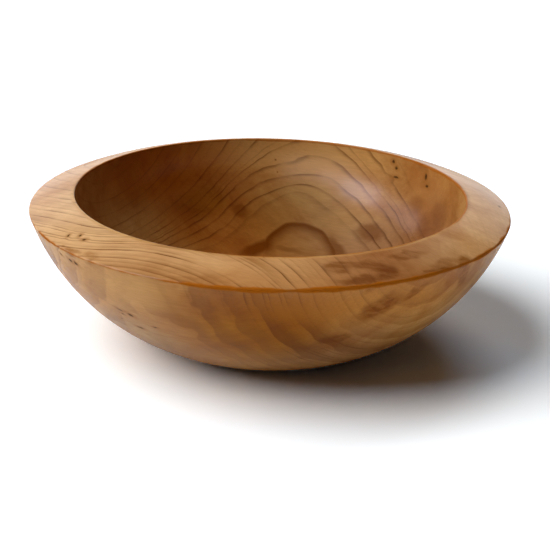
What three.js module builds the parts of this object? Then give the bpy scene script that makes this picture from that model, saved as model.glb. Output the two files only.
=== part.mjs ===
// Turned wooden bowl, in millimetres, +Z up, standing on z = 0 with the turning axis on Z.
// The bowl is one piece of timber, so it is one mesh: a single closed profile, walked from the
// middle of the base outwards, up the side, over the rim and down the inside, and then revolved.
import * as THREE from "three";

// Driving dimensions of the outside.
const OUTER_RADIUS = 160; // rim edge, the widest place
const EDGE_HEIGHT = 93; // upper arris of the rim edge above the table
const EDGE_BAND = 2.2; // height of the narrow band between the rim and the side
const EDGE_BAND_SETBACK = 0.5; // how far the band's lower arris lies inside the upper one
const SIDE_RADIUS = 145; // radius of the arc that makes the side, from the band to the foot
const FOOT_RADIUS = 59; // where that arc meets the flat base
const FOOT_EASING = 1.2; // width and height of the eased corner round the foot

// Driving dimensions of the rim and the inside.
const LIP_RADIUS = 130; // mouth of the hollow
const LIP_HEIGHT = 103; // top of the bowl, before the lip is rounded
const LIP_EASING = 1.4; // rounding of the lip
const RIM_CROWN = 0.8; // how far the rim swells above a straight line from lip to edge
const EDGE_EASING = 0.9; // rounding of the rim's outer arris
const HOLLOW_FLOOR = 13; // lowest point of the hollow above the table
const HOLLOW_WALL_RADIUS = 92; // radius of the arc from the hollow's floor up to the lip
const FLOOR_DISH = 0.6; // how much the middle of the hollow's floor dips

// Driving dimensions of the recess that the lathe chuck gripped.
const RECESS_RADIUS = 44;
const RECESS_DEPTH = 3;
const RECESS_UNDERCUT = 0.8; // dovetail of the recess wall
const RECESS_DISH = 0.8; // how much deeper the recess is in its middle

// Fineness of the faceted solid.
const TURNS = 96;
const SIDE_STEPS = 16;
const HOLLOW_STEPS = 15;
const RIM_STEPS = 5;
const EASING_STEPS = 3;
const DISH_STEPS = 2;

const point = (r, z) => new THREE.Vector2(r, z);

// The centre of the circle of a given radius through two profile points, on the axis side of them.
function arcCentre(low, high, radius) {
  const middle = low.clone().add(high).multiplyScalar(0.5);
  const half = high.clone().sub(low).multiplyScalar(0.5);
  const reach = Math.sqrt(radius ** 2 - half.lengthSq());
  const inwards = point(-half.y, half.x).normalize();
  return middle.add(inwards.multiplyScalar(reach));
}

// Points along the arc about a centre from one profile point to another, both included.
function arcPoints(centre, from, to, steps) {
  const radius = from.distanceTo(centre);
  const start = from.clone().sub(centre).angle();
  let turn = to.clone().sub(centre).angle() - start;
  if (turn > Math.PI) turn -= 2 * Math.PI;
  if (turn < -Math.PI) turn += 2 * Math.PI;
  return Array.from({ length: steps + 1 }, (_, i) => {
    const angle = start + (turn * i) / steps;
    return point(centre.x + radius * Math.cos(angle), centre.y + radius * Math.sin(angle));
  });
}

// A shallow curve between two profile points that swells by a given height at its middle.
function crownPoints(from, to, swell, steps) {
  return Array.from({ length: steps + 1 }, (_, i) => {
    const share = i / steps;
    const spot = from.clone().lerp(to, share);
    spot.y += 4 * swell * share * (1 - share);
    return spot;
  });
}

// A rounded corner: a quadratic curve that leaves one leg at "from" and joins the other at "to".
function easedCorner(from, corner, to) {
  return new THREE.QuadraticBezierCurve(from, corner, to).getPoints(EASING_STEPS);
}

// The underside: a flat foot ring round the chuck recess.
function basePoints() {
  const recessEdge = point(RECESS_RADIUS, 0);
  const recessCorner = point(RECESS_RADIUS + RECESS_UNDERCUT, RECESS_DEPTH);
  const recessFloor = crownPoints(
    point(0, RECESS_DEPTH + RECESS_DISH),
    recessCorner,
    0,
    DISH_STEPS,
  );
  return [...recessFloor, recessEdge, point(FOOT_RADIUS - FOOT_EASING, 0)];
}

// The side: one arc from the foot to the rim's edge band.
function sidePoints() {
  const bandFoot = point(OUTER_RADIUS - EDGE_BAND_SETBACK, EDGE_HEIGHT - EDGE_BAND);
  const foot = point(FOOT_RADIUS, 0);
  const centre = arcCentre(foot, bandFoot, SIDE_RADIUS);
  const easedFoot = point(
    centre.x + Math.sqrt(SIDE_RADIUS ** 2 - (centre.y - FOOT_EASING / 2) ** 2),
    FOOT_EASING / 2,
  );
  return arcPoints(centre, easedFoot, bandFoot, SIDE_STEPS);
}

// The rim: it rises inwards from the rounded outer arris to the rounded lip, a little crowned.
function rimPoints() {
  const edge = point(OUTER_RADIUS, EDGE_HEIGHT);
  const lip = point(LIP_RADIUS, LIP_HEIGHT);
  const along = lip.clone().sub(edge).normalize();
  const rimStart = edge.clone().addScaledVector(along, EDGE_EASING);
  const rimEnd = lip.clone().addScaledVector(along, -LIP_EASING);
  const bandTop = point(OUTER_RADIUS, EDGE_HEIGHT - EDGE_EASING);
  const wallTop = point(LIP_RADIUS, LIP_HEIGHT - LIP_EASING);
  return [
    ...easedCorner(bandTop, edge, rimStart).slice(0, -1),
    ...crownPoints(rimStart, rimEnd, RIM_CROWN, RIM_STEPS),
    ...easedCorner(rimEnd, lip, wallTop).slice(1),
  ];
}

// The hollow: an arc from the lip down to the floor, which is slightly dished.
function hollowPoints() {
  const wallTop = point(LIP_RADIUS, LIP_HEIGHT - LIP_EASING);
  const centreHeight = HOLLOW_FLOOR + FLOOR_DISH + HOLLOW_WALL_RADIUS;
  const reach = Math.sqrt(HOLLOW_WALL_RADIUS ** 2 - (centreHeight - wallTop.y) ** 2);
  const centre = point(LIP_RADIUS - reach, centreHeight);
  const floorRim = point(centre.x, HOLLOW_FLOOR + FLOOR_DISH);
  const floor = crownPoints(floorRim, point(0, HOLLOW_FLOOR), 0, DISH_STEPS);
  return [...arcPoints(centre, wallTop, floorRim, HOLLOW_STEPS).slice(1), ...floor.slice(1)];
}

function turnedBowl() {
  const profile = [...basePoints(), ...sidePoints(), ...rimPoints(), ...hollowPoints()];
  const geometry = new THREE.LatheGeometry(profile, TURNS);
  geometry.rotateX(Math.PI / 2);
  const timber = new THREE.MeshStandardMaterial({
    color: 0xb5854f,
    roughness: 0.38,
    metalness: 0,
  });
  const bowl = new THREE.Mesh(geometry, timber);
  bowl.name = "bowl_body";
  return bowl;
}

const object = new THREE.Group();
object.add(turnedBowl());

export default object;
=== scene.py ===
"""A turned wooden bowl: one piece of figured cypress, sanded fine and finished with satin lacquer.

Everything is in metres, with +Z along the turning axis and the foot on z = 0.
"""

from __future__ import annotations

import logging
import math
from collections.abc import Sequence
from dataclasses import dataclass, field
from enum import Enum
from typing import Union

import bpy
from mathutils import Matrix, Vector

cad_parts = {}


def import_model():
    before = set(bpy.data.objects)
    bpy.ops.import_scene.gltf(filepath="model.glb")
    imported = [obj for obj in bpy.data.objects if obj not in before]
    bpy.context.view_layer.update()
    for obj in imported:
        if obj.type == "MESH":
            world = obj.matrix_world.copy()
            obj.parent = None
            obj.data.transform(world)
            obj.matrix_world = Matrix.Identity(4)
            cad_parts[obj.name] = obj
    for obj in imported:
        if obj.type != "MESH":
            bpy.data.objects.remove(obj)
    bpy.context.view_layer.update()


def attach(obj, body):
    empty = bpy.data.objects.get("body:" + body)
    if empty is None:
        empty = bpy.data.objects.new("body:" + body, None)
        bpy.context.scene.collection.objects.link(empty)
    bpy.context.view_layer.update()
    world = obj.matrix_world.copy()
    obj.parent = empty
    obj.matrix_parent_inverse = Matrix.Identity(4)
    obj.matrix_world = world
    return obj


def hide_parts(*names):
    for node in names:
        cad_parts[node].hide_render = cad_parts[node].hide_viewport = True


LOG = logging.getLogger("turned_bowl")
MM = 0.001

# What feeds an input: a socket, or a node, which then gives its first output in use.
Source = Union[bpy.types.Node, bpy.types.NodeSocket]

Pair = tuple[float, float]
Triple = tuple[float, float, float]
Values = dict[str | int, object]

# Input numbers of a colour Mix node.
MIX_FACTOR = 0
MIX_A = 6
MIX_B = 7

# Where a place in the timber starts to fade and where it is gone, as shares of its reach.
BROAD_FADE = (0.35, 1.25)
PLAIN_FADE = (0.45, 1.2)
LATE_FADE = (0.5, 1.2)


class Surface(Enum):
    """The three turned surfaces, which cut the rings at different angles."""

    HOLLOW = "hollow"
    RIM = "rim"
    SIDE = "side"


def linear(code: str) -> tuple[float, float, float, float]:
    """Turn an sRGB hex colour into the linear values that Blender's sockets take.

    Args:
        code: The colour as "#rrggbb".

    Returns:
        Linear red, green and blue, and an alpha of 1.
    """
    shares = [int(code[i : i + 2], 16) / 255 for i in (1, 3, 5)]
    values = [s / 12.92 if s <= 0.04045 else ((s + 0.055) / 1.055) ** 2.4 for s in shares]
    return (values[0], values[1], values[2], 1.0)


class Nodes:
    """A node tree that is being filled."""

    def __init__(self, tree: bpy.types.NodeTree) -> None:
        """Start with an empty tree.

        Args:
            tree: The node tree of a material or of the world.
        """
        tree.nodes.clear()
        self.tree = tree

    def add_node(self, kind: str, values: Values | None = None) -> bpy.types.Node:
        """Add a node with its settings and its incoming links.

        Args:
            kind: The node's Blender type name, without its first word "ShaderNode".
            values: By attribute name, or by the name or number of an input. A source is linked
                to its input, and any other value is set.

        Returns:
            The new node.
        """
        node = self.tree.nodes.new("ShaderNode" + kind)
        for key, value in (values or {}).items():
            if isinstance(value, bpy.types.Node):
                value = next(socket for socket in value.outputs if socket.enabled)
            if isinstance(value, bpy.types.NodeSocket):
                self.tree.links.new(value, node.inputs[key])
            elif isinstance(key, str) and hasattr(node, key):
                setattr(node, key, value)
            else:
                node.inputs[key].default_value = value
        return node

    def joined(self, operation: str, *sources: Source) -> Source:
        """Join any number of values into one, each with what came before it.

        Args:
            operation: The operation that joins two values, such as "MULTIPLY" or "MAXIMUM".
            *sources: The values.

        Returns:
            The joined value.
        """
        total = sources[0]
        for source in sources[1:]:
            total = self.add_node("Math", {"operation": operation, 0: total, 1: source})
        return total

    def measured(
        self, place: Source, centre: Triple, reach: Triple, turn: Triple = (0.0, 0.0, 0.0)
    ) -> Source:
        """Measure coordinates from a centre, along its own axes and in reaches.

        Args:
            place: The coordinates.
            centre: The centre, in millimetres.
            reach: What counts as 1 on each axis, in millimetres.
            turn: Degrees about X, Y and Z.

        Returns:
            The new coordinates.
        """
        return self.add_node(
            "Mapping",
            {
                "vector_type": "TEXTURE",
                "Location": tuple(v * MM for v in centre),
                "Rotation": tuple(math.radians(v) for v in turn),
                "Scale": tuple(v * MM for v in reach),
                "Vector": place,
            },
        )


def soft_step(start: float, end: float, before: float = 0.0, after: float = 1.0) -> Values:
    """List the settings of a smooth change from one value to another.

    Args:
        start: Where the change starts.
        end: Where it ends.
        before: The value up to the start.
        after: The value from the end on.

    Returns:
        The settings for a Map Range node.
    """
    return {
        "interpolation_type": "SMOOTHSTEP",
        "From Min": start,
        "From Max": end,
        "To Min": before,
        "To Max": after,
    }


@dataclass(frozen=True)
class Drift:
    """A soft random change from place to place in the timber."""

    length: float  # how far apart its swells are, in millimetres
    squeeze: float = 1.0  # less than 1 draws the swells out along X, which is mostly the grain
    detail: float = 1.0
    roughness: float = 0.5
    distortion: float = 0.0
    band: Pair = (0.0, 1.0)  # the part of the noise that is used
    result: Pair = (0.0, 1.0)  # the values that it is turned into

    def value(self, nodes: Nodes, place: Source) -> Source:
        """Build the nodes of the change.

        Args:
            nodes: The material's nodes.
            place: The coordinates that it goes by.

        Returns:
            The value.
        """
        stretched = nodes.add_node("Mapping", {"Scale": (self.squeeze, 1.0, 1.0), "Vector": place})
        noise = nodes.add_node(
            "TexNoise",
            {
                "Scale": 1 / (self.length * MM),
                "Detail": self.detail,
                "Roughness": self.roughness,
                "Distortion": self.distortion,
                "Vector": stretched,
            },
        )
        limits = {"From Min": self.band[0], "From Max": self.band[1]}
        values = {"To Min": self.result[0], "To Max": self.result[1]}
        return nodes.add_node("MapRange", {**limits, **values, "Value": noise})


@dataclass(frozen=True)
class Bulge:
    """A place where the growth rings swell away from the pith or towards it."""

    place: Triple  # in millimetres
    reach: float  # how far from its middle it has faded to three fifths, in millimetres
    rise: float  # how far the rings are shifted in its middle, in millimetres

    def add_to(self, nodes: Nodes, distance: Source, place: Source) -> Source:
        """Build the nodes that add the bulge to the distance from the pith.

        Args:
            nodes: The material's nodes.
            distance: The distance from the pith so far.
            place: Object coordinates.

        Returns:
            The distance with the bulge.
        """
        own = nodes.measured(place, self.place, (math.sqrt(2) * self.reach,) * 3)
        squared = nodes.add_node("VectorMath", {"operation": "DOT_PRODUCT", 0: own, 1: own})
        fall = nodes.add_node("Math", {"operation": "POWER", 0: 1 / math.e, 1: squared})
        rise = {"operation": "MULTIPLY_ADD", 0: fall, 1: self.rise * MM, 2: distance}
        return nodes.add_node("Math", rise)


@dataclass(frozen=True)
class PithLine:
    """The middle of the tree: where it ran above the blank, and how the trunk curved."""

    bearing: float = -23.3  # degrees from +X, seen from above
    offset: float = 7.5 * MM  # how far to its left it passes the bowl's axis
    height: float = 118 * MM  # above the table, so just sawn off above the rim
    length: float = 100 * MM  # the length along the pith that bow, sweep and taper are given for
    bow: float = 21.2 * MM  # sideways drift, the same way at both ends
    sweep: float = 18.2 * MM  # sideways drift, opposite ways at the two ends
    taper: float = -0.084  # change of ring size
    flattening: float = 1.505  # how much closer the rings lie up and down than sideways
    bulges: tuple[Bulge, ...] = (
        Bulge((-31.8, 88.3, 33.0), 24.1, -8.0),
        Bulge((-107.6, -84.3, 100.8), 23.0, -8.0),
        Bulge((15.0, 127.4, 73.5), 13.3, -3.5),
        Bulge((18.4, 119.2, 61.2), 11.7, 4.8),
        Bulge((101.3, 60.9, 67.6), 47.3, -6.7),
    )

    def distance(self, nodes: Nodes, place: Source) -> tuple[Source, Source]:
        """Build the nodes that measure how far a point is from the pith.

        Args:
            nodes: The material's nodes.
            place: Object coordinates.

        Returns:
            The distance in metres, and the coordinates along, across and above the pith.
        """
        turned = nodes.add_node(
            "Mapping",
            {
                "label": "along, across and above the pith",
                "Location": (0.0, -self.offset, -self.height),
                "Rotation": (0.0, 0.0, -math.radians(self.bearing)),
                "Vector": place,
            },
        )
        x, y, z = nodes.add_node("SeparateXYZ", {0: turned}).outputs
        along = nodes.add_node("Math", {"operation": "DIVIDE", 0: x, 1: self.length})
        swept = {"operation": "MULTIPLY_ADD", 0: along, 1: self.sweep, 2: self.bow}
        drift = nodes.add_node("Math", swept)
        squared = nodes.joined("MULTIPLY", along, along)
        across = nodes.add_node("Math", {"operation": "MULTIPLY_ADD", 0: squared, 1: drift, 2: y})
        above = nodes.add_node("Math", {"operation": "MULTIPLY", 0: z, 1: self.flattening})
        flat = nodes.add_node("CombineXYZ", {0: across, 1: above})
        reach = nodes.add_node("VectorMath", {"operation": "LENGTH", 0: flat})
        tapered = {"operation": "MULTIPLY_ADD", 0: along, 1: self.taper, 2: 1.0}
        distance = nodes.joined("MULTIPLY", reach, nodes.add_node("Math", tapered))
        for bulge in self.bulges:
            distance = bulge.add_to(nodes, distance, place)
        return distance, turned


@dataclass(frozen=True)
class RingPattern:
    """Growth rings round the pith, each dark somewhere across its width."""

    rings: tuple[Pair, ...]  # bark side in mm from the pith, and darkness
    across: tuple[Pair, ...]  # share of the way through, and darkness there
    outermost: float = 190.0  # millimetres from the pith

    def darkness(self, nodes: Nodes, distance: Source) -> Source:
        """Build the nodes that give how dark a point is.

        Args:
            nodes: The material's nodes.
            distance: Distance from the pith, in metres.

        Returns:
            The darkness, from 0 to 1.
        """
        count = len(self.rings)
        edges = [(edge / self.outermost, (i + 1) / count) for i, (edge, _) in enumerate(self.rings)]
        depths = [((i + 0.5) / count, depth) for i, (_, depth) in enumerate(self.rings)]
        whole = {"operation": "DIVIDE", 0: distance, 1: self.outermost * MM}
        crossed = self.curve(nodes, nodes.add_node("Math", whole), edges)
        number = nodes.add_node("Math", {"operation": "MULTIPLY", 0: crossed, 1: float(count)})
        which = nodes.add_node("Math", {"operation": "FLOOR", 0: number})
        centred = {"operation": "MULTIPLY_ADD", 0: which, 1: 1 / count, 2: 0.5 / count}
        middle = nodes.add_node("Math", centred)
        through = nodes.add_node("Math", {"operation": "FRACT", 0: number})
        strength = self.curve(nodes, middle, depths)
        return nodes.joined("MULTIPLY", strength, self.curve(nodes, through, self.across))

    @staticmethod
    def curve(nodes: Nodes, source: Source, spots: Sequence[Pair]) -> Source:
        """Add a curve of straight stretches between given points.

        Args:
            nodes: The material's nodes.
            source: The value that is looked up, from 0 to 1.
            spots: The points, in order.

        Returns:
            The value on the curve.
        """
        node = nodes.add_node("FloatCurve", {"Value": source})
        line = node.mapping.curves[0]
        line.points[0].location = (0.0, 0.0) if spots[0][0] > 0 else spots[0]
        line.points[1].location = (1.0, spots[-1][1])
        for spot in spots:
            if 0 < spot[0] < 1:
                line.points.new(*spot)
        for point in line.points:
            point.handle_type = "VECTOR"
        node.mapping.update()
        return node


@dataclass(frozen=True)
class Blemish:
    """A place in the timber that differs from the wood round it: a knot, a patch or a drift."""

    place: Triple  # centre, in millimetres
    reach: Triple  # half its size along its own three axes, in millimetres
    depth: float = 1.0  # how strongly it differs
    turn: Triple = (0.0, 0.0, 0.0)  # degrees about X, Y and Z

    def closeness(self, nodes: Nodes, place: Source) -> Source:
        """Build the nodes that give 0 in its middle and 1 at its edge, and more outside.

        Args:
            nodes: The material's nodes.
            place: Object coordinates, or bent ones for an outline that isn't regular.

        Returns:
            The value.
        """
        own = nodes.measured(place, self.place, self.reach, self.turn)
        return nodes.add_node("VectorMath", {"operation": "LENGTH", 0: own})

    def fading(
        self, nodes: Nodes, place: Source, fade: Pair, inside: float, outside: float = 0.0
    ) -> Source:
        """Build the nodes that change softly from a value in its middle to one round it.

        Args:
            nodes: The material's nodes.
            place: Object coordinates, or bent ones.
            fade: Where the change starts and ends, as shares of the reach.
            inside: The value in the middle.
            outside: The value well outside.

        Returns:
            The value.
        """
        step = soft_step(*fade, inside, outside)
        return nodes.add_node("MapRange", {**step, "Value": self.closeness(nodes, place)})


# Pin knots: the dark eyes where fine twigs once left the trunk.
PIN_KNOTS = tuple(
    Blemish(place, reach, turn=turn)
    for place, reach, turn in (
        ((-91.6, -109.4, 58.2), (2.6, 1.2, 0.7), (0, 20, -40)),
        ((-89.6, -107.7, 54.8), (1.6, 1.2, 0.6), (0, 10, -40)),
        ((-84.5, -113.2, 56.3), (2.6, 2, 1.3), (0, 20, -38)),
        ((-91.1, -100.9, 49.3), (1, 1, 0.5), (0, 0, -40)),
        ((-78.8, -106.8, 45.6), (3, 1.5, 0.8), (0, 8, -36)),
        ((-69, -118.4, 50.4), (2, 1.2, 0.5), (0, 0, -32)),
        ((-129.5, -90.7, 87), (1.5, 1.3, 0.7), (0, 24, -50)),
        ((-122.6, -99, 85.9), (2.2, 1.4, 0.9), (0, 20, -50)),
        ((-119, -103.5, 85.6), (2.2, 1.6, 1.1), (0, 24, -50)),
        ((-125.5, -83.3, 96.8), (0.9, 1.4, 1.2), (0, 0, -30)),
        ((-117.9, -87.1, 98.3), (1.1, 1.5, 1.2), (0, 0, -30)),
        ((-114.7, -93.4, 97.9), (1.7, 1.2, 1.2), (0, 0, -20)),
        ((87.7, 95.6, 97.7), (1.3, 1.3, 1.5), (0, 0, 0)),
        ((89.9, 92.9, 93.7), (1.4, 1.4, 1.3), (0, 0, 0)),
        ((89.8, 91.4, 87), (2.6, 1.4, 0.9), (0, 0, -45)),
        ((109.3, 69.3, 94.7), (1.3, 1.3, 2.6), (0, 0, 0)),
        ((110.1, 66.3, 88.9), (1.9, 1.6, 1.2), (0, 0, -60)),
        ((3, 128.2, 87.5), (0.36, 0.36, 0.36), (0, 0, 0)),
        ((4.7, 125.8, 78.4), (0.36, 0.36, 0.36), (0, 0, 0)),
        ((153.4, 1.4, 95.7), (0.6, 1.4, 0.8), (0, 0, 0)),
    )
)

# Patches where the fibres turn across the cut, so that the wood looks darker and redder.
DARK_PATCHES = (
    Blemish((40, -138, 98.5), (9, 6, 8), 0.85, (0, 0, 10)),
    Blemish((59, -131, 99.5), (17, 5, 8), 0.75, (0, 0, 14)),
    Blemish((54, -145.5, 95), (18, 4.5, 8), 0.85, (0, 0, 18)),
    Blemish((71, -134, 97), (10, 7, 8), 0.95, (0, 0, 28)),
    Blemish((84, -114, 100.5), (15, 4.5, 8), 0.7, (0, 0, 32)),
    Blemish((106, -113, 96), (14, 4, 8), 0.6, (0, 0, 42)),
    Blemish((66, -134, 74), (18, 11, 9), 1, (0, -30, 8)),
    Blemish((88, -128, 82), (10, 9, 3), 0.75, (0, -34, 20)),
    Blemish((120.5, -98, 80), (6, 6, 12), 0.9, (0, 0, 40)),
    Blemish((42, -131, 51), (14, 9, 5), 0.8, (0, -10, 0)),
    Blemish((-56, -143, 96), (38, 9, 10), 0.3, (0, 0, -22)),
    Blemish((-123, -100, 94), (12, 2.6, 4), 0.8, (0, 0, -49)),
    Blemish((-108, -114, 94), (9, 3.5, 4), 0.45, (0, 0, -43)),
    Blemish((104, -121, 94), (17, 3.5, 4), 1, (0, 0, 41)),
    Blemish((121, -104, 94), (8, 6, 5), 1, (0, 0, 49)),
    Blemish((-22, 111, 53), (9, 12, 4.5), 0.7, (0, 20, 0)),
    Blemish((73, 83, 48), (14, 13, 8), 0.8, (0, 0, -45)),
    Blemish((118, 41, 76), (10, 14, 12), 0.45),
    Blemish((104, 70, 74), (8, 10, 7), 0.35),
    Blemish((109, 52, 64), (12, 10, 6), 0.4),
    Blemish((111, 68, 90), (6, 8, 7), 0.3),
)

# The eye low in the hollow, where the turner cut through the top of a ring.
RING_EYE = Blemish((22.5, 95, 28.5), (27.5, 200, 18.5))

# How dark its arch is, from its middle to its outline, and the heights where it fades in.
EYE_BAND = ((0, 0), (0.6, 0), (0.76, 0.45), (0.9, 1), (0.95, 0.95), (1, 0.15))
EYE_FOOT = (25 * MM, 32 * MM)

# The dark feet of the arch, which run out to both sides, and a faint streak between them.
EYE_FEET = (
    Blemish((-9, 92, 30.5), (15, 30, 4.2), 0.95, (0, -16, 0)),
    Blemish((49, 86, 34.5), (10, 30, 5), 0.75, (0, 38, 0)),
    Blemish((12, 92, 31), (14, 30, 1.8), 0.4, (0, 8, 0)),
)

# Places made paler: partly paler wood and partly painted light, where a low light from the front
# would fall on the top of the far wall and on the side just under the front edge.
PALE_AND_LIT_PLACES = (
    Blemish((8, 119, 99), (72, 40, 22), 0.85),
    Blemish((30, -146, 86), (54, 50, 24), 0.9),
    Blemish((-122, -72, 98), (34, 46, 20), 0.6),
    Blemish((-78, -128, 80), (34, 34, 16), 0.6),
    Blemish((-98, 70, 76), (50, 50, 34), 0.25),
)

# Painted sheen: places painted paler and greyer where the lacquer's gloss would show a pale
# reflection, on the left of the rim, low on the side and in the hollow.
SHEEN_PLACES = (
    Blemish((76, 76, 43), (34, 30, 20), 0.42),
    Blemish((-125, -65, 97), (60, 80, 20), 0.22),
    Blemish((14, -116, 28), (75, 40, 15), 0.28),
    Blemish((-8, -132, 48), (46, 30, 20), 0.12),
    Blemish((64, -128, 64), (34, 30, 20), 0.15),
    Blemish((-85, -122, 70), (36, 40, 30), 0.12),
    Blemish((38, 118, 76), (40, 24, 28), 0.24),
    Blemish((97, -98, 101), (24, 30, 14), 0.25),
    Blemish((-60, -127, 99), (50, 30, 16), 0.14),
)

# Where the rim's edge is hardly burnished: the depth is how much narrower it is, in millimetres.
PALE_EDGE = Blemish((-125, -95, 92), (100, 130, 40), 1.1)

# Where the lacquer on the side is thinner, so that it mirrors the table less.
THIN_LACQUER = Blemish((40, -125, 66), (105, 60, 32), 0.6)

# Broad tones, partly the timber's own colour and partly painted shade, such as the darker low and
# right part of the hollow: where, and what the colour is multiplied by in the middle.
TONES_AND_SHADE = {
    Surface.HOLLOW: (
        (Blemish((85, 28, 36), (138, 103, 78)), "#b2a4a6"),
        (Blemish((-37, 98, 45), (86, 38, 62)), "#dab88a"),
        (Blemish((-78, 90, 88), (66, 62, 26)), "#ffda7c"),
        (Blemish((-48, 108, 60.5), (20, 28, 13)), "#ded4a6"),
        (Blemish((18, 88, 52), (50, 87, 30)), "#e1edf8"),
        (Blemish((115, 55, 88), (34, 50, 34)), "#fff2e2"),
    ),
    Surface.SIDE: (
        (Blemish((-8, -123, 62), (64, 127, 50)), "#ceb054"),
        (Blemish((-80, -92, 33), (40, 60, 24)), "#dde4f2"),
        (Blemish((48, -116, 42), (50, 60, 22)), "#e0d8de"),
        (Blemish((70, -133, 90), (130, 70, 36)), "#f8e0b4"),
    ),
    Surface.RIM: (
        (Blemish((18, -118, 88), (139, 68, 15)), "#c09c68"),
        (Blemish((60, -50, 98), (60, 115, 30)), "#c5a48b"),
    ),
}

# Places where the growth lines are hard to see.
FAINT_PLACES = (
    Blemish((150, 10, 96), (60, 105, 30), 0.9),
    Blemish((80, -122, 97), (50, 30, 18), 0.55),
    Blemish((112, -92, 60), (60, 55, 50), 0.5),
    Blemish((-26, -142, 98), (36, 9.5, 14), 0.95, (0, 0, -34)),
    Blemish((116, -86, 97), (32, 32, 16), 0.7),
    Blemish((-95, -100, 55), (50, 50, 40), 0.6),
    Blemish((0, -140, 60), (70, 45, 27), 0.8),
    Blemish((118, 50, 80), (30, 52, 30), 0.85),
)

# Lines in the hollow: dark where a ring begins, and then fading towards the bark.
HOLLOW_LINES = RingPattern(
    rings=(
        (24, 0.05), (36, 0.1), (48, 0.05), (59, 0.15), (68, 0.05), (76, 0.3), (82.5, 0.1),
        (88, 0.4), (95.5, 0.1), (102, 0.5), (109, 0.15), (114.4, 0.6), (119, 0.25),
        (122.8, 0.65), (124.3, 0.3), (127.5, 0.75), (132.2, 0.6), (136.8, 0.62), (140.6, 0.66),
        (148.9, 0.3), (161, 0), (174, 0.4), (190, 0.4),
    ),
    across=(
        (0, 0.2), (0.03, 1), (0.09, 1), (0.15, 0.7), (0.2, 0.4), (0.27, 0.15), (0.36, 0),
        (0.98, 0), (1, 0.2),
    ),
)

# Lines on the rim and the outside: each ring darkens towards the bark and ends in a thin line.
OUTER_LINES = RingPattern(
    rings=(
        (20, 0.2), (28, 0.2), (36, 0.4), (43, 0.1), (50, 0.4), (57, 0.1), (64, 0.45),
        (71, 0.15), (79.1, 0.55), (86.2, 0.2), (94.2, 0.65), (99.6, 0.25), (103.4, 0.1),
        (108.2, 0.2), (113.6, 0.7), (118.5, 0.05), (122.6, 0.9), (126.2, 0.05), (131, 0.6),
        (133.8, 0.8), (137, 0.05), (139.8, 0.85), (142.6, 0.8), (147.9, 0.25), (151, 1),
        (156.3, 0.1), (160.2, 0.55), (164.4, 0.25), (169, 0.4), (172.6, 0.25),
        (178, 0.3), (184, 0.2), (190, 0.2),
    ),
    across=(
        (0, 0.2), (0.05, 0), (0.4, 0.08), (0.68, 0.35), (0.86, 0.85), (0.95, 1), (1, 0.2),
    ),
)

# Broad flames outside, where several rings together deepen towards the bark.
FLAMES = RingPattern(
    rings=(
        (22, 0.3), (45, 0.35), (66, 0.35), (87, 0.35), (107, 0.4), (128.8, 0.72),
        (147.8, 0.82), (158.5, 0.42), (168.5, 0.5), (175, 0.45), (190, 0.4),
    ),
    across=((0, 0.5), (0.03, 0), (0.25, 0.08), (0.65, 0.85), (0.97, 1), (1, 0.5)),
)

# Soft brown bands on the rim, strongest to the left of the pith.
RIM_BANDS = RingPattern(
    rings=(
        (60, 0.1), (87, 0.15), (107, 0.2), (128.8, 0.85), (139.8, 0.15), (147.9, 0.25),
        (151, 0.5), (156.3, 0.2), (160.2, 0.6), (164.4, 0.3), (169, 0.75), (172.6, 0.35),
        (178, 0.6), (184, 0.4), (190, 0.4),
    ),
    across=((0, 0.7), (0.06, 0), (0.35, 0.05), (0.75, 0.6), (0.95, 1), (1, 0.7)),
)


@dataclass(frozen=True)
class Landmarks:
    """Where the turned shape has its features, as radius and height in metres."""

    hollow_centre: Pair
    hollow_radius: float
    edge: Pair  # the middle of the rim's edge band
    lip: Pair
    hollow_skin: Pair = (0.8 * MM, 4 * MM)  # behind it, the outside's figure starts
    edge_blend: float = 0.5 * MM  # how far the side's figure and the rim's run into each other


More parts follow.
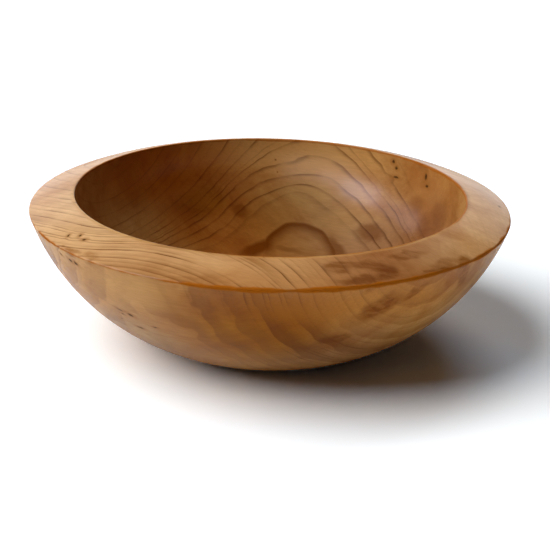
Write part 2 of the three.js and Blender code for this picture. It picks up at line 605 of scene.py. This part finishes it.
@dataclass(frozen=True)
class FiguredCypress:
    """Cypress turned across the grain, sanded fine and lacquered satin.

    To the eye it is honey-brown with thin dark growth lines, redder flames where a ring is cut
    at a low angle, small dark eyes, and a clear skin that pales at a low angle and shows a
    window as a soft patch.
    """

    pith: PithLine = PithLine()
    pale: str = "#cfa16a"
    # Painted sheen: the paler, greyer colour of the sheen places.
    sheen_tint: str = "#dabb93"
    tan: str = "#b37e49"
    flame: str = "#8e5820"
    growth_line: str = "#6b3d18"
    burnished: str = "#9c540a"
    knot: str = "#35200f"
    painted_steep_shade: str = "#f0e7cc"  # painted shade: multiplies the colour of the hollow and the side, so that they are darker than the rim
    plain_drift: Drift = Drift(26.0, 0.5, 4.0, 0.65, 0.5, band=(0.36, 0.66))  # pale to tan
    wavers: tuple[Drift, ...] = (
        Drift(26.0, 0.45, 0.0, result=(-0.5 * MM, 0.5 * MM)),
        Drift(9.0, 0.45, 0.0, result=(-0.55 * MM, 0.55 * MM)),
        Drift(3.5, 0.45, 0.0, result=(-0.15 * MM, 0.15 * MM)),
    )
    swerve: float = 1.2 * MM  # how far the rings step aside at a knot
    swerve_fade: Pair = (1.0, 5.0)  # in sizes of the knot
    fray: Drift = Drift(18.0, roughness=0.4, result=(-4.5 * MM, 4.5 * MM))
    streaks: Drift = Drift(3.5, 0.25, 3.0, band=(0.4, 0.55), result=(0.6, 1.0))
    knot_bend: Pair = (3.0, 0.8)  # length and drift of its wobbles, in mm
    eye_bend: Pair = (14.0, 1.6)
    patch_bends: tuple[Pair, ...] = ((11.0, 4.0), (3.0, 0.9))
    patch_depth: float = 0.9
    line_presence: Drift = Drift(20.0, band=(0.36, 0.6), result=(0.4, 1.0))
    line_loss: float = 0.35  # how much weaker the growth lines are on the side
    burnish: Drift = Drift(14.0, detail=2.0, result=(-1.1, 1.1))  # in widths of the band
    burnish_fade: Pair = (0.5, 1.3)  # in widths of the band
    edge_band: Pair = (1.8 * MM, 0.95)  # its width and depth
    lip_band: Pair = (1.3 * MM, 0.7)
    halo: Triple = (0.9, 3.2, 0.5)  # fading in sizes of the knot, and depth
    pupil: Triple = (0.35, 1.3, 0.88)
    fibres: Drift = Drift(1.1, 0.07, 2.0, band=(0.3, 0.7), result=(0.93, 1.06))
    relief: Drift = Drift(0.8, 0.08, 2.0)
    relief_strength: float = 0.18
    relief_height: float = 0.05 * MM
    pit_depth: float = 6.0  # in relief heights
    coat: float = 0.45  # how much of the lacquer there is
    coat_ior: float = 1.46
    coat_roughness: float = 0.21
    wood_roughness: float = 0.55
    line_roughness: float = 0.08  # how much rougher a growth line is

    def material(self, marks: Landmarks) -> bpy.types.Material:
        """Make the finish.

        Args:
            marks: Where the bowl has its hollow, edge and lip.

        Returns:
            The material.
        """
        made = bpy.data.materials.new("figured_cypress_satin_lacquered")
        made.use_nodes = True
        figure = CypressFigure(self, made.node_tree, marks)
        figure.draw_flames()
        figure.draw_pale_lit_and_sheen_places()
        figure.draw_patches()
        lines = figure.draw_lines()
        figure.draw_eye()
        figure.draw_tones_and_shade()
        worn = figure.draw_edges(marks)
        figure.draw_fibres()
        pits = figure.draw_knots()
        figure.lacquer(lines, worn, pits)
        return made


class CypressFigure(Nodes):
    """The bowl's figure while it is drawn, layer on layer, in the material's node tree."""

    def __init__(self, finish: FiguredCypress, tree: bpy.types.NodeTree, marks: Landmarks) -> None:
        """Find where a point lies in the timber and on the bowl, and lay the plain wood.

        Args:
            finish: The colours and the grain.
            tree: The material's node tree.
            marks: Where the bowl has its hollow, edge and lip.
        """
        super().__init__(tree)
        self.finish = finish
        self.place = self.add_node("TexCoord").outputs["Object"]
        distance, self.grain = finish.pith.distance(self, self.place)
        bent = self.bent(finish.knot_bend)
        self.knots = self.joined("MINIMUM", *(knot.closeness(self, bent) for knot in PIN_KNOTS))
        self.profile = self.radius_and_height()
        self.surfaces = self.turned_surfaces(marks)
        wavers = (waver.value(self, self.grain) for waver in finish.wavers)
        step = soft_step(*finish.swerve_fade, finish.swerve, 0.0)
        swerve = self.add_node("MapRange", {**step, "Value": self.knots})
        self.rings = self.joined("ADD", distance, *wavers, swerve)
        faint = (
            spot.fading(self, self.place, LATE_FADE, 1.0 - spot.depth, 1.0) for spot in FAINT_PLACES
        )
        self.clearness = self.joined("MULTIPLY", *faint)
        self.colour = self.add_node(
            "Mix",
            {
                "data_type": "RGBA",
                "label": "plain wood",
                MIX_FACTOR: finish.plain_drift.value(self, self.grain),
                MIX_A: linear(finish.pale),
                MIX_B: linear(finish.tan),
            },
        )

    def radius_and_height(self) -> Source:
        """Build the nodes that turn a point into its radius (X) and its height (Z).

        Returns:
            The vector with radius and height.
        """
        height = self.add_node("SeparateXYZ", {0: self.place}).outputs[2]
        flattened = {"operation": "MULTIPLY", 0: self.place, 1: (1.0, 1.0, 0.0)}
        level = self.add_node("VectorMath", flattened)
        radius = self.add_node("VectorMath", {"operation": "LENGTH", 0: level})
        return self.add_node("CombineXYZ", {0: radius, 2: height})

    def distance_from(self, spot: Pair) -> Source:
        """Build the node that measures how far a point of the profile is from a spot.

        Args:
            spot: Radius and height of the spot.

        Returns:
            The distance.
        """
        ends = {"operation": "DISTANCE", 0: self.profile, 1: (spot[0], 0.0, spot[1])}
        return self.add_node("VectorMath", ends)

    def turned_surfaces(self, marks: Landmarks) -> dict[Surface, Source]:
        """Tell the three turned surfaces apart.

        Args:
            marks: Where the bowl has its hollow and edge.

        Returns:
            For each surface, 1 on it and 0 elsewhere.
        """
        skin = soft_step(*(marks.hollow_radius + behind for behind in marks.hollow_skin))
        reach = self.distance_from(marks.hollow_centre)
        outside = self.add_node("MapRange", {**skin, "Value": reach})
        below = self.add_node(
            "MapRange",
            {
                "From Min": marks.edge[1] - marks.edge_blend,
                "From Max": marks.edge[1] + marks.edge_blend,
                "To Min": 1.0,
                "To Max": 0.0,
                "Value": self.add_node("SeparateXYZ", {0: self.profile}).outputs[2],
            },
        )
        side = self.joined("MULTIPLY", outside, below)
        inside = self.add_node("Math", {"operation": "SUBTRACT", 0: 1.0, 1: outside})
        rim = self.joined("SUBTRACT", outside, side)
        return {Surface.HOLLOW: inside, Surface.RIM: rim, Surface.SIDE: side}

    def bent(self, *bends: Pair) -> Source:
        """Move the coordinates about a little, so that an outline isn't regular.

        Args:
            *bends: For each run of wobbles, how far apart they are and how far a point moves
                at most, in millimetres.

        Returns:
            The moved coordinates.
        """
        place = self.place
        for length, drift in bends:
            grid = {"Scale": 1 / (length * MM), "Detail": 1.0, "Vector": place}
            noise = self.add_node("TexNoise", grid).outputs["Color"]
            middle = {"operation": "SUBTRACT", 0: noise, 1: (0.5, 0.5, 0.5)}
            centred = self.add_node("VectorMath", middle)
            reach = (2 * drift * MM,) * 3
            moved = {"operation": "MULTIPLY_ADD", 0: centred, 1: reach, 2: place}
            place = self.add_node("VectorMath", moved)
        return place

    def tint(self, tint: str, *shares: Source, blend: str = "MIX") -> None:
        """Work a tint into the colour, where all of some shares allow it.

        Args:
            tint: The tint as a hex colour.
            *shares: From 0 to 1. Their product is how much of the tint is taken.
            blend: "MIX" to cover the colour, or "MULTIPLY" to deepen it.
        """
        self.colour = self.add_node(
            "Mix",
            {
                "data_type": "RGBA",
                "blend_type": blend,
                MIX_FACTOR: self.joined("MULTIPLY", *shares),
                MIX_A: self.colour,
                MIX_B: linear(tint),
            },
        )

    def draw_flames(self) -> None:
        """Draw the frayed flames of the side and the soft bands of the rim."""
        fray = self.finish.fray.value(self, self.place)
        flames = FLAMES.darkness(self, self.joined("ADD", self.rings, fray))
        self.tint(self.finish.flame, flames, self.surfaces[Surface.SIDE])
        bands = RIM_BANDS.darkness(self, self.rings)
        self.tint(self.finish.flame, bands, self.surfaces[Surface.RIM], self.clearness)

    def draw_pale_lit_and_sheen_places(self) -> None:
        """Lighten the pale places, some of them painted light, and paint the sheen places paler and
        greyer as painted sheen.
        """
        sheen_tint = self.finish.sheen_tint
        # Painted light and painted sheen are laid here as paler colour.
        for spots, light in ((PALE_AND_LIT_PLACES, self.finish.pale), (SHEEN_PLACES, sheen_tint)):
            for spot in spots:
                self.tint(light, spot.fading(self, self.place, PLAIN_FADE, spot.depth))

    def draw_patches(self) -> None:
        """Darken the patches where the fibres turn across the cut, in streaks on the outside."""
        bent = self.bent(*self.finish.patch_bends)
        streaks = self.finish.streaks.value(self, self.place)
        uneven = self.joined("MAXIMUM", streaks, self.surfaces[Surface.HOLLOW])
        for patch in DARK_PATCHES:
            depth = self.finish.patch_depth * patch.depth
            self.tint(self.finish.flame, patch.fading(self, bent, PLAIN_FADE, depth), uneven)

    def draw_lines(self) -> Source:
        """Draw the growth lines, which come and go along their length.

        Returns:
            How dark the line is, from 0 to 1.
        """
        both = self.add_node(
            "Mix",
            {
                "data_type": "FLOAT",
                0: self.surfaces[Surface.HOLLOW],
                2: OUTER_LINES.darkness(self, self.rings),
                3: HOLLOW_LINES.darkness(self, self.rings),
            },
        )
        side = self.surfaces[Surface.SIDE]
        loss = {"operation": "MULTIPLY_ADD", 0: side, 1: -self.finish.line_loss, 2: 1.0}
        softened = self.add_node("Math", loss)
        presence = self.finish.line_presence.value(self, self.grain)
        lines = self.joined("MULTIPLY", both, presence, self.clearness, softened)
        self.tint(self.finish.growth_line, lines)
        return lines

    def draw_eye(self) -> None:
        """Draw the soft dark arch of the eye in the hollow, and its feet."""
        bent = self.bent(self.finish.eye_bend)
        band = RingPattern.curve(self, RING_EYE.closeness(self, bent), EYE_BAND)
        height = self.add_node("SeparateXYZ", {0: bent}).outputs[2]
        high = self.add_node("MapRange", {**soft_step(*EYE_FOOT), "Value": height})
        arch = self.joined("MULTIPLY", band, high)
        feet = (foot.fading(self, bent, PLAIN_FADE, foot.depth) for foot in EYE_FEET)
        eye = self.joined("MAXIMUM", arch, *feet)
        self.tint(self.finish.flame, eye, self.surfaces[Surface.HOLLOW])

    def draw_tones_and_shade(self) -> None:
        """Paint shade on the hollow and the side, darker than the rim, and lay broad tones that are
        partly painted shade and partly the wood's own colour.
        """
        rim = self.surfaces[Surface.RIM]
        steep_shade_share = self.add_node("Math", {"operation": "SUBTRACT", 0: 1.0, 1: rim})
        # Painted shade: every surface but the rim is multiplied darker.
        self.tint(self.finish.painted_steep_shade, steep_shade_share, blend="MULTIPLY")
        for surface, tones in TONES_AND_SHADE.items():
            # Some of these tones are painted shade.
            for region, tone in tones:
                share = region.fading(self, self.place, BROAD_FADE, 1.0)
                self.tint(tone, share, self.surfaces[surface], blend="MULTIPLY")

    def draw_edges(self, marks: Landmarks) -> Source:
        """Darken the rim's edge band and the lip, where sanding burnished them.

        Args:
            marks: Where the bowl has its edge and lip.

        Returns:
            How far the lacquer is cut back.
        """
        uneven = self.finish.burnish.value(self, self.place)
        pale = PALE_EDGE.fading(self, self.place, LATE_FADE, PALE_EDGE.depth * MM)
        bands = ((marks.edge, self.finish.edge_band), (marks.lip, self.finish.lip_band))
        worn = []
        for corner, (width, depth) in bands:
            gap = self.distance_from(corner)
            frayed = {"operation": "MULTIPLY_ADD", 0: uneven, 1: width, 2: gap}
            moved = self.joined("ADD", self.add_node("Math", frayed), pale)
            limits = (width * share for share in self.finish.burnish_fade)
            step = soft_step(*limits, depth, 0.0)
            worn.append(self.add_node("MapRange", {**step, "Value": moved}))
            self.tint(self.finish.burnished, worn[-1])
        return self.joined("MAXIMUM", *worn)

    def draw_fibres(self) -> None:
        """Streak the colour finely along the grain.

        Real fibres are far finer than a pixel, so they are drawn 1.1 mm apart.
        """
        light = self.finish.fibres.value(self, self.grain)
        streaked = {"operation": "SCALE", 0: self.colour, "Scale": light}
        self.colour = self.add_node("VectorMath", streaked)

    def draw_knots(self) -> Source:
        """Set the dark eyes, and the browner wood round each.

        Returns:
            How deep in an eye a point is.
        """
        parts = ((self.finish.flame, self.finish.halo), (self.finish.knot, self.finish.pupil))
        for colour, (start, end, depth) in parts:
            step = soft_step(start, end, depth, 0.0)
            pits = self.add_node("MapRange", {**step, "Value": self.knots})
            self.tint(colour, pits)
        return pits

    def lacquer(self, lines: Source, worn: Source, pits: Source) -> None:
        """Give the colour its surface: wood under a clear satin coat, with open pits at knots.

        Args:
            lines: How dark the growth line is.
            worn: How far the lacquer is cut back at the edges.
            pits: How deep in a knot a point is.
        """
        finish = self.finish
        thin = THIN_LACQUER.fading(self, self.place, PLAIN_FADE, THIN_LACQUER.depth)
        thin = self.joined("MULTIPLY", thin, self.surfaces[Surface.SIDE])
        bare = self.joined("MAXIMUM", pits, worn, thin)
        coat = {"operation": "MULTIPLY_ADD", 0: bare, 1: -finish.coat, 2: finish.coat}
        dulled = {"operation": "MULTIPLY_ADD", 0: lines, 1: finish.line_roughness}
        fibres = finish.relief.value(self, self.grain)
        sunk = {"operation": "MULTIPLY_ADD", 0: pits, 1: -finish.pit_depth, 2: fibres}
        height = self.add_node("Math", sunk)
        bump = {"Strength": finish.relief_strength, "Distance": finish.relief_height}
        relief = self.add_node("Bump", {**bump, "Height": height})
        shader = self.add_node(
            "BsdfPrincipled",
            {
                "IOR": finish.coat_ior,
                "Specular IOR Level": 0.0,
                "Coat Roughness": finish.coat_roughness,
                "Coat IOR": finish.coat_ior,
                "Base Color": self.colour,
                "Roughness": self.add_node("Math", {**dulled, 2: finish.wood_roughness}),
                "Coat Weight": self.add_node("Math", coat),
                "Normal": relief,
            },
        )
        self.add_node("OutputMaterial", {"Surface": shader})


@dataclass
class TurnedBowl:
    """The bowl: one piece of timber, turned from a profile. Sizes in metres."""

    outer_radius: float = 160 * MM
    edge_height: float = 93 * MM
    edge_band: float = 2.2 * MM
    edge_band_setback: float = 0.5 * MM
    side_radius: float = 145 * MM
    foot_radius: float = 59 * MM
    foot_easing: float = 1.2 * MM
    lip_radius: float = 130 * MM
    lip_height: float = 103 * MM
    lip_easing: float = 1.4 * MM
    rim_crown: float = 0.8 * MM
    edge_easing: float = 0.9 * MM
    hollow_floor: float = 13 * MM
    hollow_wall_radius: float = 92 * MM
    floor_dish: float = 0.6 * MM
    recess_radius: float = 44 * MM
    recess_depth: float = 3 * MM
    recess_undercut: float = 0.8 * MM
    recess_dish: float = 0.8 * MM
    recess_easing: float = 0.3 * MM
    weld: float = 0.01 * MM  # points nearer than this are one
    side_steps: int = 40
    wall_steps: int = 34
    rim_steps: int = 10
    turns: int = 288
    smooth_angle: float = 35.0  # in degrees: flatter corners are shaded as one surface
    finish: FiguredCypress = field(default_factory=FiguredCypress)

    def hollow_centre(self) -> Vector:
        """Find the centre of the hollow's arc, as radius and height."""
        height = self.hollow_floor + self.floor_dish + self.hollow_wall_radius
        drop = height - (self.lip_height - self.lip_easing)
        reach = math.sqrt(self.hollow_wall_radius**2 - drop**2)
        return Vector((self.lip_radius - reach, height))

    def side_centre(self) -> Vector:
        """Find the centre of the side's arc, as radius and height."""
        low = Vector((self.foot_radius, 0.0))
        band_foot = self.edge_height - self.edge_band
        high = Vector((self.outer_radius - self.edge_band_setback, band_foot))
        half = (high - low) / 2
        inwards = Vector((-half.y, half.x)).normalized()
        return (low + high) / 2 + inwards * math.sqrt(self.side_radius**2 - half.length_squared)

    @staticmethod
    def arc(centre: Vector, start: Vector, end: Vector, steps: int) -> list[Vector]:
        """Walk along an arc of the profile.

        Args:
            centre: The arc's centre, as radius and height.
            start: Where it starts.
            end: Where it ends.
            steps: How many equal steps it takes.

        Returns:
            The points after the start.
        """
        first = start - centre
        last = end - centre
        begin = math.atan2(first.y, first.x)
        sweep = math.atan2(last.y, last.x) - begin
        angles = [begin + sweep * i / steps for i in range(1, steps + 1)]
        return [centre + first.length * Vector((math.cos(a), math.sin(a))) for a in angles]

    @staticmethod
    def eased(start: Vector, corner: Vector, end: Vector, steps: int) -> list[Vector]:
        """Round a corner of the profile with a curve that is tangent to both of its legs.

        Args:
            start: Where the rounding leaves the first leg.
            corner: The sharp corner.
            end: Where the rounding joins the second leg.
            steps: How many steps it takes.

        Returns:
            The points, with both ends.
        """
        shares = [i / steps for i in range(steps + 1)]
        return [start * (1 - s) ** 2 + corner * (2 * s * (1 - s)) + end * s**2 for s in shares]

    def foot(self) -> list[Vector]:
        """List the profile from the middle of the recess to the start of the side."""
        top = self.recess_depth + self.recess_dish
        points = [
            Vector((share * self.recess_radius, top - share * self.recess_dish))
            for share in (0.0, 0.25, 0.5, 0.75, 0.93)
        ]
        flat_end = self.foot_radius - self.foot_easing
        for radius, height in (
            (self.recess_radius + self.recess_undercut, self.recess_depth),
            (self.recess_radius, self.recess_easing),
            (self.recess_radius + self.recess_easing, 0.0),
            (self.recess_radius * 0.5 + flat_end * 0.5, 0.0),
        ):
            points.append(Vector((radius, height)))
        centre = self.side_centre()
        lift = self.foot_easing / 2
        reach = math.sqrt(self.side_radius**2 - (centre.y - lift) ** 2)
        side_start = Vector((centre.x + reach, lift))
        corner = Vector((self.foot_radius, 0.0))
        return points + self.eased(Vector((flat_end, 0.0)), corner, side_start, steps=4)

    def profile(self) -> list[Vector]:
        """List the profile from the middle of the recess, round the outside, to the hollow."""
        edge = Vector((self.outer_radius, self.edge_height))
        lip = Vector((self.lip_radius, self.lip_height))
        along = (lip - edge).normalized()
        band_foot = edge - Vector((self.edge_band_setback, self.edge_band))
        band_top = edge - Vector((0.0, self.edge_easing))
        rim_start = edge + along * self.edge_easing
        rim_end = lip - along * self.lip_easing
        wall_top = lip - Vector((0.0, self.lip_easing))
        points = self.foot()
        points.extend(self.arc(self.side_centre(), points[-1], band_foot, self.side_steps))
        points.extend(self.eased(band_top, edge, rim_start, steps=5))
        for step in range(1, self.rim_steps):
            share = step / self.rim_steps
            crown = Vector((0.0, 4 * self.rim_crown * share * (1 - share)))
            points.append(rim_start.lerp(rim_end, share) + crown)
        points.extend(self.eased(rim_end, lip, wall_top, steps=6))
        centre = self.hollow_centre()
        floor_edge = Vector((centre.x, self.hollow_floor + self.floor_dish))
        points.extend(self.arc(centre, wall_top, floor_edge, self.wall_steps))
        for share in (0.75, 0.5, 0.25, 0.0):
            height = self.hollow_floor + self.floor_dish * share
            points.append(Vector((floor_edge.x * share, height)))
        return points

    def turn(self) -> bpy.types.Object:
        """Draw the profile point by point and spin it into the closed bowl.

        Returns:
            The bowl, standing on the table with its axis on Z.
        """
        points = self.profile()
        bpy.ops.object.select_all(action="DESELECT")
        bpy.ops.mesh.primitive_plane_add(size=1 * MM, location=(0.0, 0.0, points[0].y))
        bowl = bpy.context.object
        bowl.name = "turned_bowl"
        bowl.data.name = "turned_bowl"
        bpy.ops.object.transform_apply(location=True, rotation=True, scale=True)
        bpy.ops.object.mode_set(mode="EDIT")
        bpy.ops.mesh.select_all(action="SELECT")
        bpy.ops.mesh.merge(type="CENTER")
        for here, there in zip(points, points[1:]):
            move = {"value": (there.x - here.x, 0.0, there.y - here.y)}
            bpy.ops.mesh.extrude_region_move(TRANSFORM_OT_translate=move)
        bpy.ops.mesh.select_all(action="SELECT")
        bpy.ops.mesh.spin(
            steps=self.turns, angle=2 * math.pi, center=(0.0, 0.0, 0.0), axis=(0.0, 0.0, 1.0)
        )
        bpy.ops.mesh.select_all(action="SELECT")
        bpy.ops.mesh.remove_doubles(threshold=self.weld)
        bpy.ops.mesh.normals_make_consistent(inside=False)
        bpy.ops.object.mode_set(mode="OBJECT")
        bpy.ops.object.shade_smooth_by_angle(angle=math.radians(self.smooth_angle))
        return bowl

    def build(self) -> bpy.types.Object:
        """Turn the bowl, finish it and put it in the place of its plain model.

        Returns:
            The finished bowl.
        """
        bowl = self.turn()
        marks = Landmarks(
            hollow_centre=tuple(self.hollow_centre()),
            hollow_radius=self.hollow_wall_radius,
            edge=(self.outer_radius, self.edge_height - self.edge_band / 2),
            lip=(self.lip_radius, self.lip_height - self.lip_easing / 2),
        )
        bowl.data.materials.append(self.finish.material(marks))
        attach(bowl, "root")
        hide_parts("bowl_body")
        return bowl


@dataclass(frozen=True)
class Light:
    """Anything bright round the bowl."""

    name: str
    bearing: float  # degrees from +Y towards +X
    elevation: float  # degrees above the table

    def hung(self, kind: str, distance: float) -> bpy.types.Object:
        """Hang a lamp so that it faces the bowl.

        Args:
            kind: Blender's name for the kind of lamp.
            distance: How far away it hangs.

        Returns:
            The lamp.
        """
        turn = math.radians(self.bearing)
        lift = math.radians(self.elevation)
        level = math.cos(lift)
        towards = Vector((level * math.sin(turn), level * math.cos(turn), math.sin(lift)))
        bpy.ops.object.light_add(type=kind, location=towards * distance)
        lamp = bpy.context.object
        lamp.name = self.name
        lamp.rotation_euler = towards.to_track_quat("Z", "Y").to_euler()
        return lamp


@dataclass(frozen=True)
class SoftLamp(Light):
    """A lamp far away and wide across, so that its shadows are soft."""

    width: float  # degrees across
    strength: float

    def build(self) -> None:
        """Hang the lamp, which the lacquer doesn't show."""
        lamp = self.hung("SUN", 0.0)
        lamp.data.energy = self.strength
        lamp.data.angle = math.radians(self.width)
        lamp.visible_glossy = False


@dataclass(frozen=True)
class Window(Light):
    """A bright opening that only the lacquer's gloss shows. Sizes in metres."""

    size: Pair
    radiance: float  # 1 shows as pure white
    colour: str
    distance: float = 1.8

    def build(self) -> None:
        """Hang the window, which lights nothing but the gloss."""
        window = self.hung("AREA", self.distance)
        window.data.shape = "RECTANGLE"
        window.data.size, window.data.size_y = self.size
        window.data.energy = self.radiance * math.pi * self.size[0] * self.size[1]
        window.data.color = linear(self.colour)[:3]
        window.visible_diffuse = False


@dataclass
class Studio:
    """A white table, two big soft lamps, and the windows that the lacquer mirrors. In metres."""

    lamps: tuple[SoftLamp, ...] = (
        SoftLamp("soft_lamp", -105.0, 48.0, 56.0, 3.7),
        SoftLamp("back_lamp", 17.0, 57.0, 30.0, 0.6),
    )
    windows: tuple[Window, ...] = (
        Window("side_window", -116.0, 24.0, (0.8, 0.5), 9.5, "#d8e0fa"),
        Window("long_window", -105.0, 24.0, (3.1, 0.42), 4.5, "#d8e0fa"),
        Window("low_window", -150.0, 12.0, (1.4, 0.9), 2.0, "#dfe8ff"),
        Window("back_window", -3.0, 17.0, (2.6, 1.0), 1.4, "#f4f6ff"),
    )
    table_size: float = 12.0
    paint: str = "#f6f6f6"
    table_shine: str = "#84919a"  # what the camera and the gloss see on top of the paint
    shaded_shine: str = "#2c8ec8"  # the same in the shade, against the brown light off the wood
    shaded_place: Blemish = Blemish((62.0, -38.0, 0.0), (118.0, 70.0, 200.0))
    air_colour: str = "#f2f5ff"
    air_strength: float = 0.01
    backdrop: str = "#ffffff"
    backdrop_top: Pair = (0.05, 0.16)  # where the gloss loses it, as rise of a ray

    def table(self) -> None:
        """Lay the white table, which the camera and the lacquer see a little overexposed."""
        bpy.ops.object.select_all(action="DESELECT")
        bpy.ops.mesh.primitive_plane_add(size=self.table_size, location=(0.0, 0.0, 0.0))
        table = bpy.context.object
        table.name = "table"
        paint = bpy.data.materials.new("matt_white_paint")
        paint.use_nodes = True
        nodes = Nodes(paint.node_tree)
        rays = nodes.add_node("LightPath").outputs
        kinds = ("Is Camera Ray", "Is Glossy Ray", "Is Transmission Ray")
        seen = nodes.joined("MAXIMUM", *(rays[kind] for kind in kinds))
        place = nodes.add_node("TexCoord").outputs["Object"]
        shine = nodes.add_node(
            "Mix",
            {
                "data_type": "RGBA",
                MIX_FACTOR: self.shaded_place.fading(nodes, place, BROAD_FADE, 0.0, 1.0),
                MIX_A: linear(self.shaded_shine),
                MIX_B: linear(self.table_shine),
            },
        )
        white = nodes.add_node("BsdfDiffuse", {"Color": linear(self.paint)})
        extra = nodes.add_node("BsdfDiffuse", {"Color": shine})
        both = nodes.add_node("AddShader", {0: white, 1: extra})
        shown = nodes.add_node("MixShader", {0: seen, 1: white, 2: both})
        nodes.add_node("OutputMaterial", {"Surface": shown})
        table.data.materials.append(paint)

    def air(self) -> None:
        """Fill the room with a faint even light, and show white where the table ends."""
        world = bpy.data.worlds.new("room")
        bpy.context.scene.world = world
        world.use_nodes = True
        nodes = Nodes(world.node_tree)
        rays = nodes.add_node("LightPath").outputs
        view = nodes.add_node("TexCoord").outputs["Generated"]
        low = nodes.add_node(
            "MapRange",
            {
                "From Min": self.backdrop_top[0],
                "From Max": self.backdrop_top[1],
                "To Min": 1.0,
                "To Max": 0.0,
                "Value": nodes.add_node("SeparateXYZ", {0: view}).outputs[2],
            },
        )
        mirrored = nodes.joined("ADD", rays["Is Glossy Ray"], rays["Is Transmission Ray"])
        backed = nodes.joined("MULTIPLY", mirrored, low)
        seen = nodes.joined("MAXIMUM", rays["Is Camera Ray"], backed)
        light = {"Color": linear(self.air_colour), "Strength": self.air_strength}
        fill = nodes.add_node("Background", light)
        white = nodes.add_node("Background", {"Color": linear(self.backdrop), "Strength": 1.0})
        shown = nodes.add_node("MixShader", {0: seen, 1: fill, 2: white})
        nodes.add_node("OutputWorld", {"Surface": shown})

    def build(self) -> None:
        """Lay the table and light the room."""
        self.table()
        for light in (*self.lamps, *self.windows):
            light.build()
        self.air()
        bpy.context.scene.view_settings.view_transform = "Standard"


@dataclass
class PhotoCamera:
    """The camera, where the photograph's was. Sizes in metres, angles in degrees."""

    distance: float = 1.2
    elevation: float = 17.795
    orbit_height: float = 93 * MM
    target: Triple = (4.36 * MM, 0.0, 43.58 * MM)
    roll: float = 1.48  # the bowl leans this much clockwise in the photograph
    lens: float = 117.32  # in millimetres
    sensor: float = 36.0  # in millimetres

    def build(self) -> bpy.types.Object:
        """Place the camera and make it the scene's.

        Returns:
            The camera.
        """
        lift = math.radians(self.elevation)
        rise = self.orbit_height + math.sin(lift) * self.distance
        spot = Vector((0.0, -math.cos(lift) * self.distance, rise))
        back = (spot - Vector(self.target)).normalized()
        right = Vector((0.0, 0.0, 1.0)).cross(back).normalized()
        up = back.cross(right)
        turn = math.radians(self.roll)
        rolled_right = right * math.cos(turn) + up * math.sin(turn)
        rolled_up = up * math.cos(turn) - right * math.sin(turn)
        axes = Matrix((rolled_right, rolled_up, back)).transposed()
        bpy.ops.object.camera_add()
        camera = bpy.context.object
        camera.name = "photo_camera"
        camera.data.lens = self.lens
        camera.data.sensor_width = self.sensor
        camera.matrix_world = Matrix.Translation(spot) @ axes.to_4x4()
        bpy.context.scene.camera = camera
        return camera


def main() -> None:
    """Build the bowl, the studio and the camera."""
    logging.basicConfig(level=logging.INFO, format="%(name)s: %(message)s")
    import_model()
    camera = PhotoCamera().build()
    LOG.info("placed %s", camera.name)
    bowl = TurnedBowl().build()
    LOG.info("turned %s with %d faces", bowl.name, len(bowl.data.polygons))
    Studio().build()
    LOG.info("lit the studio")


if __name__ == "__main__":
    main()
